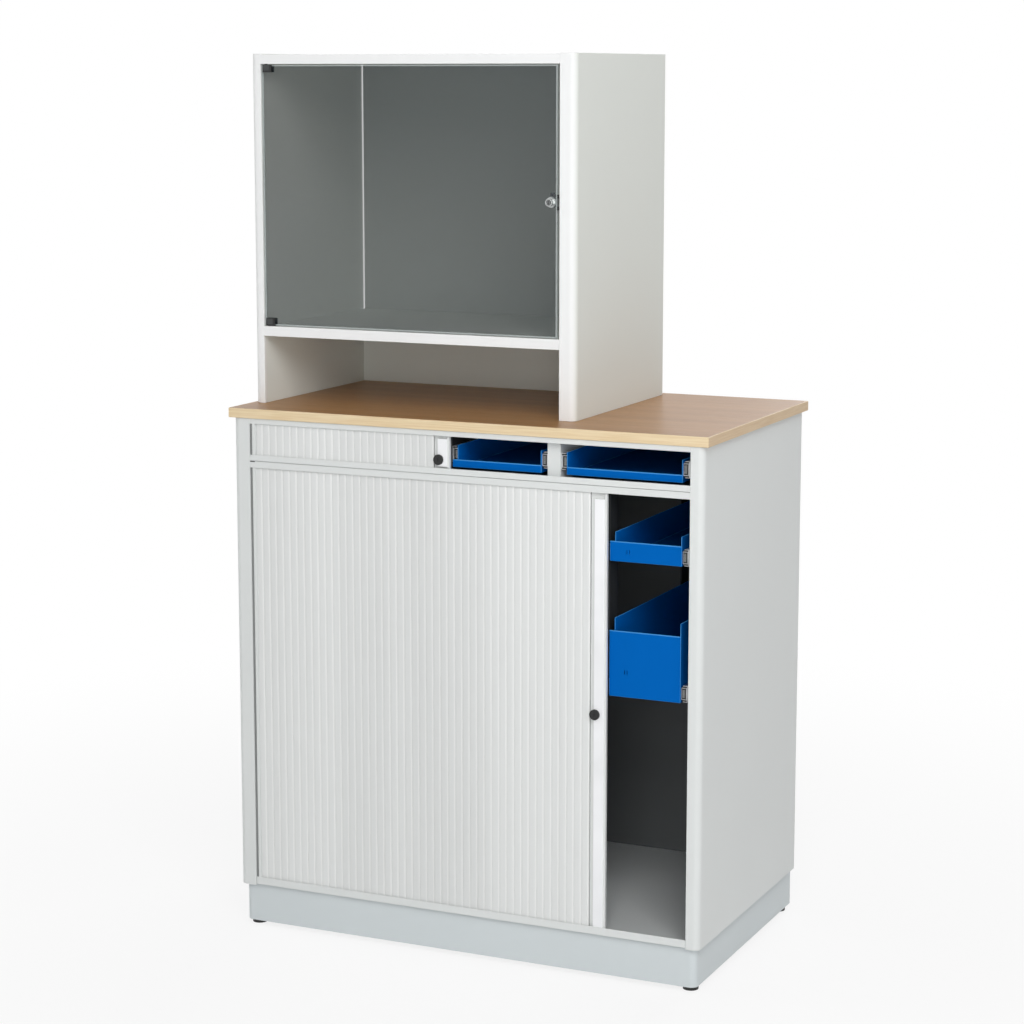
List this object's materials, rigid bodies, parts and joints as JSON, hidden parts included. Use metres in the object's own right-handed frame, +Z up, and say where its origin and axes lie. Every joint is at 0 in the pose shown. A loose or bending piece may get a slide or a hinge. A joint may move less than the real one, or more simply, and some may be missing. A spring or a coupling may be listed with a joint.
{
  "type": "computer desk",
  "caption": "Stand-up computer desk: steel cabinet with sliding slatted shutters, pull-out drawers, a beech worktop and a glazed monitor housing with an open niche below.",
  "frame": {"origin": "on the floor under the middle of the desk's plan", "axes": "+X to the right of someone who stands in front, the front faces -Y, +Z up"},
  "size_m": [1, 0.572, 1.734],
  "materials": {
    "carcass_paint": "fine satin",
    "inner_paint": "satin",
    "frame_paint": "satin black",
    "plinth_paint": "fine satin",
    "housing_paint": "fine satin",
    "worktop_laminate": "satin laminate",
    "edging_beech": "satin",
    "slat_plastic": "satin",
    "black_plastic": "satin",
    "drawer_paint": "satin",
    "slide_steel": "zinc plated",
    "tinted_glass": "grey tint",
    "lock_chrome": "polished",
    "screw_steel": "zinc plated"
  },
  "bodies": {
    "carcass": {"left_side_panel": "carcass_paint", "right_side_panel": "carcass_paint", "bottom_rail": "carcass_paint", "lower_head_rail": "carcass_paint", "upper_sill_rail": "carcass_paint", "top_rail": "carcass_paint", "row_partition": "carcass_paint", "base_back_panel": "carcass_paint", "inlet_strips": "carcass_paint", "base_floor": "carcass_paint", "bay_ceiling": "inner_paint", "row_floor": "inner_paint", "carcass_top": "inner_paint", "drawer_hangers": "frame_paint", "right_uprights": "frame_paint", "row_divider": "frame_paint", "plinth": "plinth_paint", "housing_left_side": "housing_paint", "housing_right_side": "housing_paint", "housing_top": "housing_paint", "housing_shelf": "housing_paint", "housing_back": "housing_paint", "niche_back": "housing_paint", "worktop": "worktop_laminate", "worktop_edging": "edging_beech", "upper_shutter_return": "slat_plastic", "lower_shutter_return": "slat_plastic", "upper_shutter_tracks": "slat_plastic", "lower_shutter_tracks": "slat_plastic", "levelling_feet": "black_plastic", "door_strike": "black_plastic", "middle_drawer_slide_fixed": "slide_steel", "right_drawer_slide_fixed": "slide_steel", "shallow_drawer_slide_fixed": "slide_steel", "deep_drawer_slide_fixed": "slide_steel", "back_panel_screws": "screw_steel"},
    "glass_door": {"glass_door": "tinted_glass", "door_clamps": "black_plastic", "door_lock_body": "lock_chrome"},
    "door_lock": {"door_lock_plug": "lock_chrome"},
    "upper_curtain": {"upper_shutter_slats": "slat_plastic"},
    "upper_bar": {"upper_end_bar": "slat_plastic"},
    "upper_lock": {"upper_bar_lock": "black_plastic"},
    "lower_curtain": {"lower_shutter_slats": "slat_plastic"},
    "lower_bar": {"lower_end_bar": "slat_plastic"},
    "lower_lock": {"lower_bar_lock": "black_plastic"},
    "middle_drawer": {"middle_drawer_tray": "drawer_paint", "middle_drawer_slide_inner": "slide_steel"},
    "middle_drawer_middle_members": {"middle_drawer_slide_middle": "slide_steel"},
    "right_drawer": {"right_drawer_tray": "drawer_paint", "right_drawer_slide_inner": "slide_steel"},
    "right_drawer_middle_members": {"right_drawer_slide_middle": "slide_steel"},
    "shallow_drawer": {"shallow_drawer_tray": "drawer_paint", "shallow_drawer_slide_inner": "slide_steel"},
    "shallow_drawer_middle_members": {"shallow_drawer_slide_middle": "slide_steel"},
    "deep_drawer": {"deep_drawer_tray": "drawer_paint", "deep_drawer_slide_inner": "slide_steel"},
    "deep_drawer_middle_members": {"deep_drawer_slide_middle": "slide_steel"}
  },
  "joints": [
    {"name": "door_hinge", "type": "hinge", "parent": "carcass", "child": "glass_door", "pos_m": [-0.4595, -0.1905, 1.459], "axis": [0, 0, -1], "range_deg": [0, 105]},
    {"name": "door_lock_turn", "type": "hinge", "parent": "glass_door", "child": "door_lock", "pos_m": [0.148, -0.1905, 1.459], "axis": [0, 1, 0], "range_deg": [0, 90]},
    {"name": "upper_shutter_close", "type": "slide", "parent": "carcass", "child": "upper_curtain", "axis": [-1, 0, 0], "range_m": [-0.485, 0], "deforming": ["upper_shutter_return"]},
    {"name": "upper_shutter_open", "type": "slide", "parent": "upper_curtain", "child": "upper_bar", "axis": [-1, 0, 0], "range_m": [0, 0.376], "deforming": ["upper_shutter_slats"]},
    {"name": "upper_lock_turn", "type": "hinge", "parent": "upper_bar", "child": "upper_lock", "pos_m": [-0.0435, -0.2815, 0.975], "axis": [0, 1, 0], "range_deg": [0, 90]},
    {"name": "lower_shutter_close", "type": "slide", "parent": "carcass", "child": "lower_curtain", "axis": [-1, 0, 0], "range_m": [-0.163, 0], "deforming": ["lower_shutter_return"]},
    {"name": "lower_shutter_open", "type": "slide", "parent": "lower_curtain", "child": "lower_bar", "axis": [-1, 0, 0], "range_m": [0, 0.699], "deforming": ["lower_shutter_slats"]},
    {"name": "lower_lock_turn", "type": "hinge", "parent": "lower_bar", "child": "lower_lock", "pos_m": [0.279, -0.2815, 0.514], "axis": [0, 1, 0], "range_deg": [0, 90]},
    {"name": "middle_drawer_slide", "type": "slide", "parent": "carcass", "child": "middle_drawer", "axis": [0, -1, 0], "range_m": [0, 0.38]},
    {"name": "middle_drawer_middle_slide", "type": "slide", "parent": "carcass", "child": "middle_drawer_middle_members", "axis": [0, -1, 0], "range_m": [0, 0.19]},
    {"name": "right_drawer_slide", "type": "slide", "parent": "carcass", "child": "right_drawer", "axis": [0, -1, 0], "range_m": [0, 0.38]},
    {"name": "right_drawer_middle_slide", "type": "slide", "parent": "carcass", "child": "right_drawer_middle_members", "axis": [0, -1, 0], "range_m": [0, 0.19]},
    {"name": "shallow_drawer_slide", "type": "slide", "parent": "carcass", "child": "shallow_drawer", "axis": [0, -1, 0], "range_m": [0, 0.38]},
    {"name": "shallow_drawer_middle_slide", "type": "slide", "parent": "carcass", "child": "shallow_drawer_middle_members", "axis": [0, -1, 0], "range_m": [0, 0.19]},
    {"name": "deep_drawer_slide", "type": "slide", "parent": "carcass", "child": "deep_drawer", "axis": [0, -1, 0], "range_m": [0, 0.38]},
    {"name": "deep_drawer_middle_slide", "type": "slide", "parent": "carcass", "child": "deep_drawer_middle_members", "axis": [0, -1, 0], "range_m": [0, 0.19]}
  ],
  "couplings": [
    {"joint": "middle_drawer_middle_slide", "follows": "middle_drawer_slide", "ratio": 0.5},
    {"joint": "right_drawer_middle_slide", "follows": "right_drawer_slide", "ratio": 0.5},
    {"joint": "shallow_drawer_middle_slide", "follows": "shallow_drawer_slide", "ratio": 0.5},
    {"joint": "deep_drawer_middle_slide", "follows": "deep_drawer_slide", "ratio": 0.5}
  ]
}
